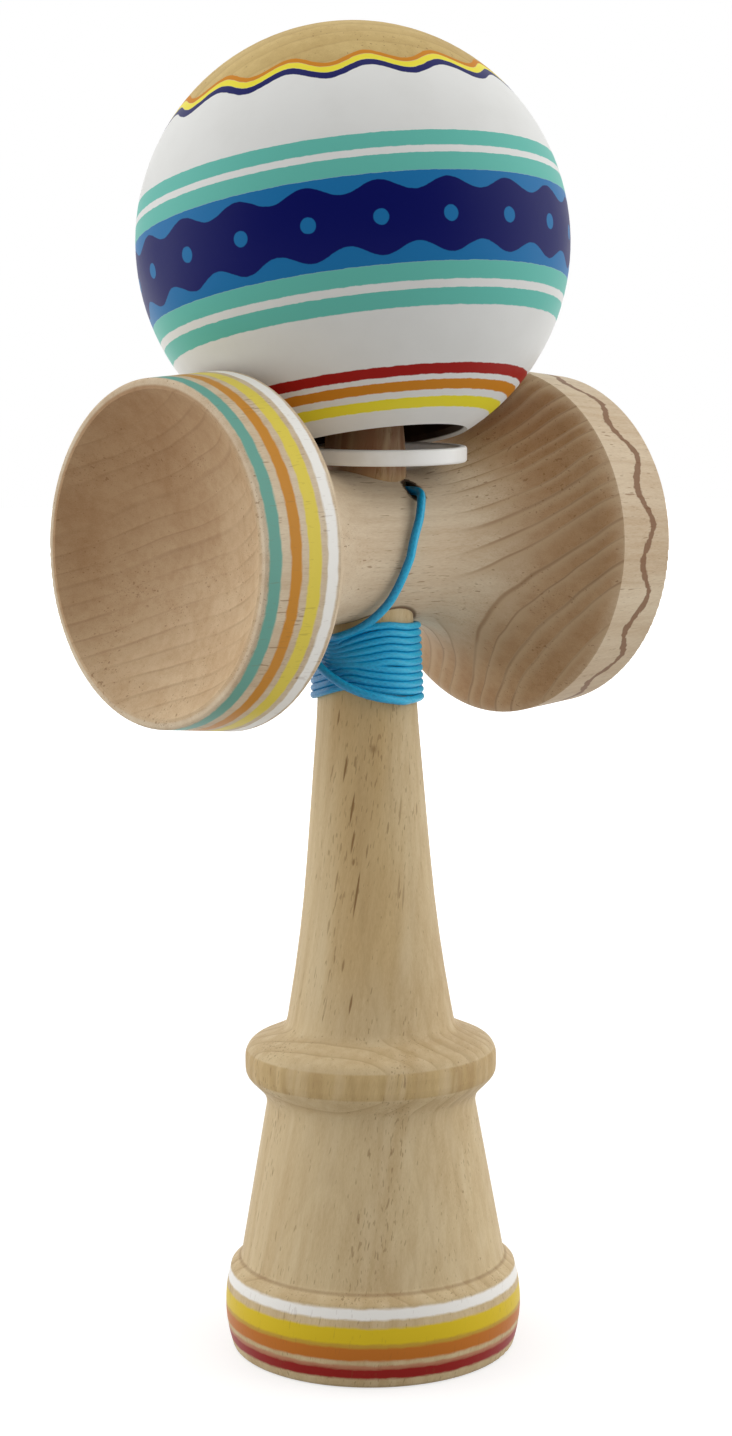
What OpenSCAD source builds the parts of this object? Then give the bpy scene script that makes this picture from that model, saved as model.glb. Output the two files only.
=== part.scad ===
// Kendama standing on its base cup: turned handle, cross-piece with two cups, ball on the spike,
// loose ring and wound string. Lengths in mm, angles in degrees. Z runs up the handle's axis,
// X along the cross-piece from the small cup to the big cup. The origin is the middle of the base rim.

/* [Handle] */
// height of the handle from base rim to spike tip
ken_h = 164; // [162:0.5:165]
// widest radius reached by the sides of the base rim
base_r = 22; // [21.5:0.05:22.5]
// radius of the base rim on the table
base_foot_r = 20.15; // [19.8:0.05:20.4]
// radius of the base rim at its upper edge
base_top_r = 20.35; // [20:0.05:20.6]
// height of the widest part of the base rim
base_mid_z = 6.35; // [6:0.05:6.7]
// height of the base rim at its upper edge
base_top_z = 11.6; // [11.3:0.1:12]
// crown radius of the base rim's side
base_crown_r = 18; // [16:0.5:18.5]
// mouth radius of the base cup
base_cup_r = 17.6; // [17:0.1:18]
// radius of the bell where it leaves the base rim
bell_foot_r = 18.85; // [18.5:0.05:19.1]
// height of the bell's foot
bell_foot_z = 13; // [12.8:0.1:13.4]
// radius of the bell under the slip collar
bell_top_r = 14.7; // [14.4:0.1:15]
// height of the bell's top
bell_top_z = 36.3; // [35.8:0.1:36.6]
// radius of the slip collar
collar_r = 17.9; // [17.6:0.05:18.4]
// height of the collar's lower edge
collar_low_z = 39.5; // [39.2:0.1:39.8]
// height of the collar's upper edge
collar_top_z = 43.7; // [43.4:0.1:44]
// radius of the shaft at the collar
shaft_foot_r = 12.05; // [11.8:0.05:12.3]
// height of the shaft's foot on the collar
shaft_foot_z = 46.2; // [45.8:0.1:46.6]
// radius at the bend of the shaft's flare
shaft_bend_r = 9.65; // [9.5:0.05:9.8]
// height of the bend of the shaft's flare
shaft_bend_z = 59.6; // [59:0.2:61]
// radius of the shaft where the taper for the cross-piece begins
taper_low_r = 7.1; // [7:0.05:7.2]
// height of the start of the taper
taper_low_z = 90.7; // [90:0.1:91.4]
// radius of the spike's foot at the end of the taper
spike_foot_r = 5.6; // [5.5:0.05:5.7]
// height of the spike's foot
spike_foot_z = 129; // [128.6:0.1:129.4]
// radius of the spike just below its rounded tip
spike_tip_r = 2.3; // [2.2:0.05:2.5]

/* [Handle edges] */
// rounding of sharp turned edges
edge_round = 0.8; // [0.6:0.1:1]
// cove radius between bell and collar
cove_round = 2.9; // [2.4:0.1:3.1]
// rounding of the collar's lower edge
collar_low_round = 2.2; // [1.8:0.1:2.5]
// rounding of the collar's upper edge
collar_top_round = 2.6; // [2.2:0.1:2.9]
// cove radius between collar and shaft
foot_round = 2; // [1.6:0.1:2.6]
// bend radius of the shaft's flare
flare_bend_r = 220; // [180:5:240]
// bend radius where flare turns into taper
taper_bend_r = 150; // [120:5:170]
// rounding of the spike's tip
tip_round = 2.1; // [1.9:0.05:2.15]

/* [Cross-piece] */
// height of the cross-piece's axis
cross_z = 114.25; // [114:0.05:114.5]
// radius of the neck between the cups
neck_r = 10.7; // [10.5:0.05:10.8]
// corner of the flare on the neck, from the middle
flare_foot_x = 17.9; // [17.7:0.1:18.2]
// radius of the flare's sweep
flare_r = 20; // [18:0.5:20.2]
// rounding of the shoulder behind each cup's band
shoulder_round = 5.8; // [5:0.1:6]
// radial step from shoulder to band
shoulder_step_r = 1; // [0.9:0.05:1.1]
// step along the axis from shoulder to band
shoulder_step_x = 1.55; // [1.5:0.05:1.7]
// small cup: radius at the inner edge of its band
small_band_r = 23.9; // [23.7:0.05:24]
// small cup: inner edge of its band, from the middle
small_band_x = 26.5; // [26.3:0.1:26.7]
// small cup: radius at the rim
small_rim_r = 22.8; // [22.6:0.05:23]
// small cup: rim, from the middle
small_rim_x = 37.85; // [37.6:0.05:38.1]
// big cup: radius at the inner edge of its band
big_band_r = 25.2; // [25:0.05:25.3]
// big cup: inner edge of its band, from the middle
big_band_x = 26; // [25.8:0.1:26.2]
// big cup: radius at the rim
big_rim_r = 24.35; // [24.2:0.05:24.6]
// big cup: rim, from the middle
big_rim_x = 36.8; // [36.5:0.1:37.1]
// width of the lip round each cup's mouth
lip_w = 1.4; // [1.2:0.1:1.7]
// rounding of the lips
lip_round = 0.5; // [0.4:0.05:0.6]
// bevel at the lower mouth of the bore for the handle
bore_bevel = 0.5; // [0.3:0.05:0.6]

/* [Ball] */
// radius of the ball
tama_r = 30; // [29.8:0.1:31]
// middle of the ball along the cross-piece
tama_x = -1; // [-1.1:0.05:-0.9]
// middle of the ball across the cross-piece
tama_y = 0.9; // [0.8:0.05:1]
// clearance between the ball and the band of the small cup
tama_gap = 1.04; // [1:0.01:1.2]
// clearance between the spike's tip and the foot of the bead's pocket
tip_gap = 0.9; // [0.8:0.05:0.9]
// lean of the ball away from the string hole
tama_lean = 9; // [8:0.5:9.5]
// radius of the bore for the spike
bore_r = 11.5; // [11.3:0.1:11.8]
// width of the bevel at the bore's mouth
bore_mouth_w = 1.2; // [1:0.1:1.4]
// end of the straight bore above the ball's middle
bore_end_h = 4; // [3.5:0.1:4.5]
// radius of the pocket for the bead
pocket_r = 3.9; // [3.8:0.05:4.1]
// foot of the pocket above the ball's middle
pocket_low_h = 9.2; // [9:0.1:9.4]
// depth of the pocket
pocket_depth = 10; // [9.8:0.1:10.4]
// radius of the string hole through the ball's top
top_hole_r = 1.5; // [1.4:0.05:1.6]
// width of the bevel round the ball's top hole
top_bevel_w = 2; // [1.8:0.1:2.2]

/* [Ring] */
// outer radius of the loose ring
ring_r = 11.4; // [11.3:0.05:11.5]
// wall of the loose ring
ring_wall = 1.25; // [1.1:0.05:1.3]
// height of the loose ring
ring_h = 2.2; // [2:0.05:2.25]
// rounding of the ring's edges
ring_round = 0.4; // [0.2:0.05:0.5]
// shift of the ring towards the string hole
ring_shift = 4; // [3.9:0.05:4.05]
// height of the ring's underside at its middle
ring_z = 126; // [125.95:0.05:126.05]
// tilt of the ring on the saddle
ring_tilt = 3.5; // [3:0.5:4]
// direction the ring tilts to, from the big cup
ring_way = 235; // [230:1:240]

/* [String] */
// diameter of the string
cord_d = 1.2; // [1.1:0.05:1.2]
// clearance of the string from what it lies on
cord_gap = 0.3; // [0.3:0.05:0.4]
// radius of the string holes through cross-piece and handle
hole_r = 1.3; // [1.2:0.05:1.4]
// string hole, from the handle's axis towards the big cup
hole_x = 2.4; // [2.3:0.05:2.5]
// height of the string hole
hole_z = 122; // [121.9:0.05:122.1]
// radius of the knots
knot_r = 1.6; // [1.5:0.05:1.65]
// middle of the handle's knot behind the axis
knot_y = 3.2; // [3.1:0.05:3.3]
// clearance round the handle's knot
knot_gap = 0.3; // [0.3:0.05:0.4]
// radius of the bead inside the ball
bead_r = 3.1; // [3:0.05:3.2]
// radius of the bead's hole
bead_hole_r = 0.9; // [0.85:0.05:1]
// loops of the winding on the shaft
wind_loops = 6; // [6:1:7]
// step from loop to loop
wind_pitch = 1.62; // [1.62:0.01:1.68]
// height of the winding's first loop
wind_top_z = 102.2; // [102:0.1:102.3]

/* [Fits] */
// radial clearance of the cross-piece on the handle's taper
taper_gap = 0.02; // [0.01:0.01:0.05]
// radius added to the ball for the hollow of the cups
cup_gap = 0.5; // [0.3:0.1:0.8]

/* [Hidden] */

// overrun of all cuts
overrun = 1;
// longest facet on round work
facet = 2;
// least count of facets on a full turn
least_facets = 96;
$fn = 96;

cord_r = cord_d / 2;
cup_hollow_r = tama_r + cup_gap;

// direction helpers
function unit(v) = v / norm(v);
function facets(r) = max(least_facets, 4 * ceil(PI * r / (2 * facet)));

// turned outlines: corners are [radius, height, rounding], listed anticlockwise
function pt(c, i) = [c[i][0], c[i][1]];
function before(c, i) = pt(c, (i + len(c) - 1) % len(c));
function after(c, i) = pt(c, (i + 1) % len(c));
function back_way(c, i) = unit(before(c, i) - pt(c, i));
function on_way(c, i) = unit(after(c, i) - pt(c, i));
function half_angle(c, i) = acos(back_way(c, i) * on_way(c, i)) / 2;
function setback(c, i) = c[i][2] / tan(half_angle(c, i));
function touch_in(c, i) = pt(c, i) + setback(c, i) * back_way(c, i);
function touch_out(c, i) = pt(c, i) + setback(c, i) * on_way(c, i);
function round_mid(c, i) = pt(c, i)
    + unit(back_way(c, i) + on_way(c, i)) * c[i][2] / sin(half_angle(c, i));
function bulges(c, i) = cross(on_way(c, i), back_way(c, i)) > 0;
function cut_corners(c) = [for (i = [0 : len(c) - 1])
    each (c[i][2] == 0 ? [pt(c, i)] : [touch_in(c, i), touch_out(c, i)])];

module corner_round(c, i) {
    intersection() {
        translate(round_mid(c, i))
            circle(r = c[i][2], $fn = facets(c[i][2]));
        polygon([touch_in(c, i), pt(c, i), touch_out(c, i)]);
    }
}

module outline(c) {
    rounded = [for (i = [0 : len(c) - 1]) if (c[i][2] > 0) i];
    difference() {
        union() {
            polygon(cut_corners(c));
            for (i = rounded)
                if (bulges(c, i))
                    corner_round(c, i);
        }
        for (i = rounded)
            if (!bulges(c, i))
                corner_round(c, i);
    }
}

// handle, turned about Z
ken_corners = [
    [0, 0, 0],
    [base_foot_r, 0, edge_round],
    [base_r, base_mid_z, base_crown_r],
    [base_top_r, base_top_z, edge_round],
    [bell_foot_r, bell_foot_z, edge_round],
    [bell_top_r, bell_top_z, cove_round],
    [collar_r, collar_low_z, collar_low_round],
    [collar_r, collar_top_z, collar_top_round],
    [shaft_foot_r, shaft_foot_z, foot_round],
    [shaft_bend_r, shaft_bend_z, flare_bend_r],
    [taper_low_r, taper_low_z, taper_bend_r],
    [spike_foot_r, spike_foot_z, 0],
    [spike_tip_r, ken_h, tip_round],
    [0, ken_h, 0]
];
taper_share = (taper_low_r - spike_foot_r) / (spike_foot_z - taper_low_z);
flare_share = (shaft_bend_r - taper_low_r) / (taper_low_z - shaft_bend_z);
function taper_r(z) = taper_low_r + (taper_low_z - z) * taper_share;
// radius under the winding, taken on the steeper of the two slopes so that the string stays clear
function shaft_r(z) = taper_low_r + (taper_low_z - z) * (z > taper_low_z ? taper_share : flare_share);

// distance of a hollow's middle from its mouth
function hollow_set(r) = sqrt(pow(cup_hollow_r, 2) - pow(r, 2));

module ken() {
    color("BurlyWood")
    difference() {
        rotate_extrude()
            difference() {
                outline(ken_corners);
                translate([0, -hollow_set(base_cup_r)])
                    circle(r = cup_hollow_r, $fn = facets(cup_hollow_r));
            }
        translate([hole_x, 0, hole_z])
            rotate([90, 0, 0])
                cylinder(r = hole_r, h = 2 * neck_r, center = true);
        translate([hole_x, knot_y - knot_r - knot_gap, hole_z])
            rotate([-90, 0, 0])
                cylinder(r = knot_r + knot_gap, h = neck_r);
    }
}

// cross-piece, turned about X
function cup_corners(s, rim_x, rim_r, band_x, band_r) = [
    [rim_r, s * rim_x, lip_round],
    [band_r, s * band_x, 0],
    [band_r - shoulder_step_r, s * (band_x - shoulder_step_x), shoulder_round],
    [neck_r, s * flare_foot_x, flare_r]
];
small_corners = cup_corners(-1, small_rim_x, small_rim_r, small_band_x, small_band_r);
big_corners = cup_corners(1, big_rim_x, big_rim_r, big_band_x, big_band_r);
sarado_corners = concat([[0, -small_rim_x, 0]], small_corners,
    [for (i = [len(big_corners) - 1 : -1 : 0]) big_corners[i]], [[0, big_rim_x, 0]]);
bore_low_z = cross_z - neck_r;
bore_top_z = cross_z + neck_r;

module sarado() {
    color("Wheat")
    difference() {
        translate([0, 0, cross_z])
            rotate([0, 90, 0])
                rotate_extrude()
                    difference() {
                        outline(sarado_corners);
                        translate([0, -small_rim_x - hollow_set(small_rim_r - lip_w)])
                            circle(r = cup_hollow_r, $fn = facets(cup_hollow_r));
                        translate([0, big_rim_x + hollow_set(big_rim_r - lip_w)])
                            circle(r = cup_hollow_r, $fn = facets(cup_hollow_r));
                    }
        translate([0, 0, bore_low_z - overrun])
            cylinder(r1 = taper_r(bore_low_z - overrun) + taper_gap,
                r2 = taper_r(bore_top_z + overrun) + taper_gap,
                h = bore_top_z - bore_low_z + 2 * overrun);
        translate([0, 0, bore_low_z - overrun])
            cylinder(r1 = taper_r(bore_low_z) + taper_gap + bore_bevel + overrun,
                r2 = taper_r(bore_low_z) + taper_gap, h = bore_bevel + overrun);
        translate([hole_x, 0, hole_z])
            rotate([90, 0, 0])
                cylinder(r = hole_r, h = neck_r + overrun);
    }
}

// ball, turned about its own leaning axis
mouth_r = bore_r + bore_mouth_w;
mouth_h = sqrt(pow(tama_r, 2) - pow(mouth_r, 2));
top_r = top_hole_r + top_bevel_w;
top_h = sqrt(pow(tama_r, 2) - pow(top_r, 2));
// the ball comes down until it meets the small cup or the spike's tip
on_cup_z = cross_z + small_band_r
    + sqrt(max(0, pow(tama_r + tama_gap, 2) - pow(small_band_x + tama_x, 2)));
on_tip_z = ken_h + tip_gap - pocket_low_h * cos(tama_lean);
tama_z = max(on_cup_z, on_tip_z);
pocket_top_h = pocket_low_h + pocket_depth;
bore_corners = [
    [0, -tama_r - overrun],
    [mouth_r + tama_r - mouth_h + overrun, -tama_r - overrun],
    [bore_r, bore_mouth_w - mouth_h],
    [bore_r, bore_end_h],
    [pocket_r, pocket_low_h],
    [pocket_r, pocket_top_h],
    [top_hole_r, pocket_top_h],
    [top_hole_r, top_h - top_bevel_w],
    [top_r + tama_r - top_h + overrun, tama_r + overrun],
    [0, tama_r + overrun]
];

module on_ball() {
    translate([tama_x, tama_y, tama_z])
        rotate([-tama_lean, 0, 0])
            children();
}

module tama() {
    color("WhiteSmoke")
    on_ball()
        rotate_extrude()
            difference() {
                intersection() {
                    circle(r = tama_r);
                    translate([0, -tama_r])
                        square([tama_r, 2 * tama_r]);
                }
                polygon(bore_corners);
            }
}

// loose ring round the spike
ring_corners = [
    [ring_r - ring_wall, 0, ring_round],
    [ring_r, 0, ring_round],
    [ring_r, ring_h, ring_round],
    [ring_r - ring_wall, ring_h, ring_round]
];

module spacer_ring() {
    color("White")
    translate([0, -ring_shift, ring_z])
        rotate([0, 0, ring_way])
            rotate([0, ring_tilt, 0])
                rotate_extrude()
                    outline(ring_corners);
}

// bead, knots and straight string inside the ball
bead_h = pocket_top_h - cord_gap - bead_r;
tama_knot_h = bead_h - bead_r - knot_r;
lead_top_h = top_h - top_bevel_w - cord_d;
lead_low_h = tama_knot_h + knot_r / 2;

module bead() {
    color("Peru")
    on_ball()
        translate([0, 0, bead_h])
            difference() {
                sphere(r = bead_r);
                cylinder(r = bead_hole_r, h = 2 * bead_r + overrun, center = true);
            }
}

module tama_knot() {
    color("SteelBlue")
    on_ball()
        translate([0, 0, tama_knot_h])
            sphere(r = knot_r);
}

module string_lead() {
    color("SteelBlue")
    on_ball()
        translate([0, 0, lead_low_h])
            cylinder(r = cord_r, h = lead_top_h - lead_low_h);
}

module ken_knot() {
    color("SteelBlue")
    translate([hole_x, knot_y, hole_z])
        sphere(r = knot_r);
}

// tube swept along points
function way(p, i) = unit(p[min(i + 1, len(p) - 1)] - p[max(i - 1, 0)]);
function square_to(n, t) = unit(n - (n * t) * t);
function carried(p, n, i = 0) = i == len(p) ? []
    : let (m = square_to(n, way(p, i))) concat([m], carried(p, m, i + 1));
function ring_at(p, n, t, r, sides) = [for (j = [0 : sides - 1])
    p + r * (cos(360 * j / sides) * n + sin(360 * j / sides) * cross(t, n))];
function side_faces(rings, sides) = [for (i = [0 : rings - 2], j = [0 : sides - 1])
    let (a = i * sides + j, b = i * sides + (j + 1) % sides) each [[a, a + sides, b], [b, a + sides, b + sides]]];

module tube(p, r, sides, seed) {
    n = carried(p, seed);
    rings = len(p);
    polyhedron(
        points = [for (i = [0 : rings - 1]) each ring_at(p[i], n[i], way(p, i), r, sides)],
        faces = concat(side_faces(rings, sides),
            [[for (j = [0 : sides - 1]) j]],
            [[for (j = [sides - 1 : -1 : 0]) (rings - 1) * sides + j]]));
}

// winding: starts beside the small cup and turns clockwise seen from above
cord_sides = 8;
wind_sides = 6;
loop_rings = 24;
wind_start = 180;
wind_last_share = 0.72;
wind_turns = wind_loops - 1 + wind_last_share;
wind_rings = round(wind_turns * loop_rings);
function wind_angle(t) = wind_start - 360 * t;
function wind_z(t) = wind_top_z - wind_pitch * t;
function wind_r(t) = shaft_r(wind_z(t)) + cord_gap + cord_r;
function wind_at(t) = [wind_r(t) * cos(wind_angle(t)), wind_r(t) * sin(wind_angle(t)), wind_z(t)];
function wind_way(t) = [sin(wind_angle(t)), -cos(wind_angle(t)), 0];
wind_in = wind_at(0) - cord_d * wind_way(0);
wind_out = wind_at(wind_turns) + cord_d * wind_way(wind_turns);
wind_points = concat([wind_in], [for (i = [0 : wind_rings]) wind_at(wind_turns * i / wind_rings)], [wind_out]);

// least gap of the winding to itself, measured between points more than half a loop apart
wind_gap = min([for (i = [0 : len(wind_points) - 1], k = [i + loop_rings / 2 : len(wind_points) - 1])
    norm(wind_points[i] - wind_points[k])]) - cord_d;
echo(least_winding_gap = wind_gap);

// tail from the handle's knot, out of the cross-piece and down to the winding
cord_grid = 0.1;
tail_steps = [
    [24, 22, 1220], [24, -8, 1220], [24, -38, 1220], [24, -66, 1220], [23, -81, 1219],
    [20, -90, 1216], [14, -98, 1210], [6, -105, 1196], [-3, -111, 1181], [-15, -115, 1160],
    [-21, -116, 1145], [-25, -116, 1131], [-30, -113, 1116], [-35, -109, 1101], [-40, -102, 1087],
    [-46, -93, 1071], [-54, -80, 1056], [-62, -64, 1043], [-70, -48, 1032]
];
meet_share = 1.5;
tail_points = concat(cord_grid * tail_steps, [wind_in - meet_share * cord_d * wind_way(0), wind_in]);

// riser: from the winding's foot up over its loops, behind the cross-piece and over the ball
riser_steps = [
    [-27, -83, 931], [-51, -78, 938], [-69, -64, 946], [-83, -46, 955], [-92, -25, 966],
    [-95, -2, 978], [-93, 22, 991], [-86, 44, 1004], [-74, 65, 1018], [-59, 84, 1033],
    [-41, 98, 1050], [-26, 108, 1070], [-15, 120, 1093]
];
behind_point = cord_grid * [-8, 134, 1118];
hug_r = tama_r + cord_gap + cord_r;
ball_mid = [tama_x, tama_y, tama_z];
function ball_at(a) = ball_mid + hug_r * [0, cos(a), sin(a)];
behind = behind_point - ball_mid;
behind_l = norm([behind[1], behind[2]]);
hug_low = atan2(behind[2], behind[1]) + acos(hug_r / behind_l);
hug_top_clear = 9;
hug_top = 90 - tama_lean - hug_top_clear;
hug_count = 18;
lift_count = 9;
top_steps = [[28, 6], [14, 2], [4, -8], [0, -20]];
function ball_frame(w, h) = ball_mid
    + [0, w * cos(tama_lean) + h * sin(tama_lean), h * cos(tama_lean) - w * sin(tama_lean)];
riser_points = concat(
    [wind_out, wind_out + cord_d * wind_way(wind_turns)],
    cord_grid * riser_steps,
    [for (i = [0 : lift_count - 1]) behind_point + (ball_at(hug_low) - behind_point) * i / lift_count],
    [for (i = [0 : hug_count]) ball_at(hug_low + (hug_top - hug_low) * i / hug_count)],
    [for (s = top_steps) ball_frame(cord_grid * s[0], tama_r + cord_grid * s[1])],
    [ball_frame(0, lead_top_h)]);

module string_tail() {
    color("DodgerBlue")
    tube(tail_points, cord_r, cord_sides, [0, 0, 1]);
}

module string_winding() {
    color("DodgerBlue")
    tube(wind_points, cord_r, wind_sides, [0, 0, 1]);
}

module string_riser() {
    color("DodgerBlue")
    tube(riser_points, cord_r, cord_sides, [0, 0, 1]);
}

ken();
sarado();
tama();
spacer_ring();
bead();
ken_knot();
tama_knot();
string_lead();
string_tail();
string_winding();
string_riser();
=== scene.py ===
import math

import bmesh
import bpy
from mathutils import Matrix, Vector

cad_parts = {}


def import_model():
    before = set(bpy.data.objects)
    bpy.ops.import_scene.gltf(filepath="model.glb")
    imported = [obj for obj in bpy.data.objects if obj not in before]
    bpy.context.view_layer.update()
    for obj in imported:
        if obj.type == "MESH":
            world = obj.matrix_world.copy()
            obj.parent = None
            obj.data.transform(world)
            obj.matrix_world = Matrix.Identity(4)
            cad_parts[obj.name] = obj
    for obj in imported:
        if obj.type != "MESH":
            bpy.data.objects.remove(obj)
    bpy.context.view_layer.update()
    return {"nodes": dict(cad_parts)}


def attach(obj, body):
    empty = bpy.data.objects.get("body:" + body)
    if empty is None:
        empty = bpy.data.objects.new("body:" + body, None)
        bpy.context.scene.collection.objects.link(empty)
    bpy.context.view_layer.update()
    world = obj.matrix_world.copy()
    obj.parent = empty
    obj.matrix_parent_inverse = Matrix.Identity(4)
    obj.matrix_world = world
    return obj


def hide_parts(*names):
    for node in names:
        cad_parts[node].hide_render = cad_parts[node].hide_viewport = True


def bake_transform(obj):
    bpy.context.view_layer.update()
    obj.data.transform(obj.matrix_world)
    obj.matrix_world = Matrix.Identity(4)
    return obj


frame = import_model()
NODES = frame["nodes"]

MM = 0.001

# The camera of the photograph, in the part's frame.
CAM_AT = Vector((-0.237382, -0.254890, 0.125742))
CAM_RIGHT = Vector((0.731459, -0.681815, -0.009813))
CAM_UP = Vector((0.076575, 0.067835, 0.994754))
CAM_LENS = 62.245
CAM_SENSOR = 36.0
SIDE = Vector((CAM_RIGHT.x, CAM_RIGHT.y, 0)).normalized()
TO_CAM = Vector((CAM_AT.x, CAM_AT.y, 0)).normalized()

# Sizes that the looks share with the solids, in mm. Those with _H are heights over the ball's middle,
# along its own axis.
BALL_MID = Vector((-1.0, 0.9, 155.85))
BALL_R = 30.0
BALL_LEAN = math.radians(9)
BALL_UP = Vector((0, math.sin(BALL_LEAN), math.cos(BALL_LEAN)))
TOP_HOLE_R = 1.5
TOP_BEVEL = 2.0
POCKET_TOP_H = 19.2
BEAD_R = 3.1
KNOT_R = 1.6
KEN_KNOT_Y = 3.2
CROSS_Z = 114.25
HOLE_X, HOLE_Z, HOLE_R = 2.4, 122.0, 1.3
CORD_D = 1.2
CORD_R = CORD_D / 2
CORD_GAP = 0.3
# The shaft's radius at one height, and what it loses over which rise.
SHAFT_R, SHAFT_Z = 7.1, 90.7
SHAFT_LOSS, SHAFT_RISE = 1.5, 38.3


def make_camera():
    data = bpy.data.cameras.new("camera")
    data.sensor_fit = "AUTO"
    data.sensor_width = CAM_SENSOR
    data.lens = CAM_LENS
    data.clip_start = 0.01
    data.clip_end = 50
    cam = bpy.data.objects.new("camera", data)
    bpy.context.scene.collection.objects.link(cam)
    right = CAM_RIGHT.normalized()
    back = right.cross(CAM_UP).normalized()
    up = back.cross(right)
    cam.matrix_world = (
        Matrix.Translation(CAM_AT)
        @ Matrix((right, up, back)).transposed().to_4x4()
    )
    bpy.context.scene.camera = cam


make_camera()


# Cord routes, in mm.

LINE_STEP = 0.3
LEAST_GAP = 1e-6


def lerp(a, b, t):
    return a + (b - a) * t


def smooth_path(points):
    """Points about LINE_STEP apart on a centripetal Catmull-Rom curve through the given ones."""
    p = [Vector(q) for q in points]
    p = [2 * p[0] - p[1]] + p + [2 * p[-1] - p[-2]]
    line = []
    for i in range(1, len(p) - 2):
        a, b, c, d = p[i - 1 : i + 3]
        t1 = max((b - a).length, LEAST_GAP) ** 0.5
        t2 = t1 + max((c - b).length, LEAST_GAP) ** 0.5
        t3 = t2 + max((d - c).length, LEAST_GAP) ** 0.5
        n = max(1, math.ceil((c - b).length / LINE_STEP))
        for k in range(n):
            t = lerp(t1, t2, k / n)
            mid = (t - t1) / (t2 - t1)
            ab = lerp(a, b, t / t1)
            bc = lerp(b, c, mid)
            cd = lerp(c, d, (t - t2) / (t3 - t2))
            abc = lerp(ab, bc, t / t2)
            bcd = lerp(bc, cd, (t - t1) / (t3 - t1))
            line.append(lerp(abc, bcd, mid))
    return line + [p[-2].copy()]


def shaft_r(z):
    return SHAFT_R - (z - SHAFT_Z) * SHAFT_LOSS / SHAFT_RISE


def around(angle, r, z):
    a = math.radians(angle)
    return Vector((r * math.cos(a), r * math.sin(a), z))


def ball_frame(w, h):
    """A point w behind the ball's axis and h above its middle."""
    c, s = math.cos(BALL_LEAN), math.sin(BALL_LEAN)
    return BALL_MID + Vector((0, w * c + h * s, h * c - w * s))


# The tail comes out of the cross-piece and runs down to the left of the winding.
TAIL = [
    (2.4, 2.2, 122), (2.4, -0.8, 122), (2.4, -3.8, 122), (2.4, -6.6, 122),
    (2.3, -8.1, 121.9), (2, -9, 121.6), (1.4, -9.8, 121), (0.6, -10.5, 119.6),
    (-0.3, -11.1, 118.1), (-1.5, -11.5, 116), (-2.1, -11.6, 114.5), (-2.5, -11.6, 113.1),
    (-3, -11.3, 111.6), (-3.5, -10.9, 110.1), (-3.9, -10.2, 108.5), (-4.5, -9.3, 106.8),
    (-5.3, -8, 105.2), (-6.1, -6.5, 103.9), (-6.9, -4.8, 102.9), (-7.8, -2.6, 102.1),
]

# The winding turns clockwise seen from above. Each turn runs from the left (180 degrees) round the
# back to the right and over the front. Heights are those of the turn at each of these angles.
ANGLES = [180, 137, 92, 47, 2, -43, -84, -110, -133, -152, -169]
TURNS = 11
WOUND_OFF = 0.53  # from the shaft's face to the middle of the wound cord
RIGHT_TOP = 103.25
RIGHT_STEP = 1.01
FIRST_LEFT = 101.75
FIRST_RISE = 0.1
FAN = 6  # turns that close up to a fan on the left; the next ones dive under the last strand
FAN_TOP = 101.05
FAN_STEP = 0.6
BUNCH_TOP = 97.5
BUNCH_STEP = 1.0
DIVE = 1.05
# The share of the climb from left to right at three angles round the back, and the share of its last
# step that is still to come at the next angle.
BACK_SHARES = (0.25, 0.55, 0.8)
RIGHT_SHARE = 0.2
# Over the front a turn of the fan lifts a little, then comes down by shares of the way to the next
# turn's left: the first turn's share and what each turn adds.
FAN_LIFT = 0.3
FAN_SHARES = ((0.02, 0.04), (0.42, 0.05), (0.93, 0.0))
BUNCH_LIFTS = (0.25, 0.7, 1.1)
# The last turn's end: its angle, the degrees kept free before it, how far the cord's middle lies from
# the shaft's face there, and its height.
END_ANGLE = 280.8
END_ROOM = 20
END_OFF = 0.9
END_Z = 93.1


def left_z(k):
    """Height of turn k where it starts on the left."""
    if k == 0:
        return FIRST_LEFT
    if k <= FAN:
        return FAN_TOP - FAN_STEP * (k - 1)
    return BUNCH_TOP - BUNCH_STEP * (k - FAN - 1)


def turn_heights(k):
    """Heights of turn k at each of ANGLES."""
    right = RIGHT_TOP - RIGHT_STEP * k
    here, there = left_z(k), left_z(k + 1)
    low = here
    if k == 0:
        low += FIRST_RISE
    elif k > FAN:
        low -= DIVE
    back = [lerp(low, right, share) for share in BACK_SHARES]
    if k < FAN:
        front = [right + FAN_LIFT]
        front += [lerp(right, there, share + more * k) for share, more in FAN_SHARES]
    else:
        front = [right + lift for lift in BUNCH_LIFTS]
        front.append(lerp(front[-1], there, 0.5))
    return [here, low] + back + [lerp(right, back[-1], RIGHT_SHARE), right] + front


def winding_end():
    """The end of the winding's last turn, and the cord's way on from there, one cord long."""
    a = math.radians(END_ANGLE)
    way = CORD_D * Vector((math.sin(a), -math.cos(a), 0))
    return around(END_ANGLE, shaft_r(END_Z) + END_OFF, END_Z), way


def winding():
    points = []
    for k in range(TURNS):
        for angle, z in zip(ANGLES, turn_heights(k)):
            if k == TURNS - 1 and angle < END_ANGLE - 360 + END_ROOM:
                break
            points.append(around(angle, shaft_r(z) + WOUND_OFF, z))
    end, way = winding_end()
    return points + [end, end + way]


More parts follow.
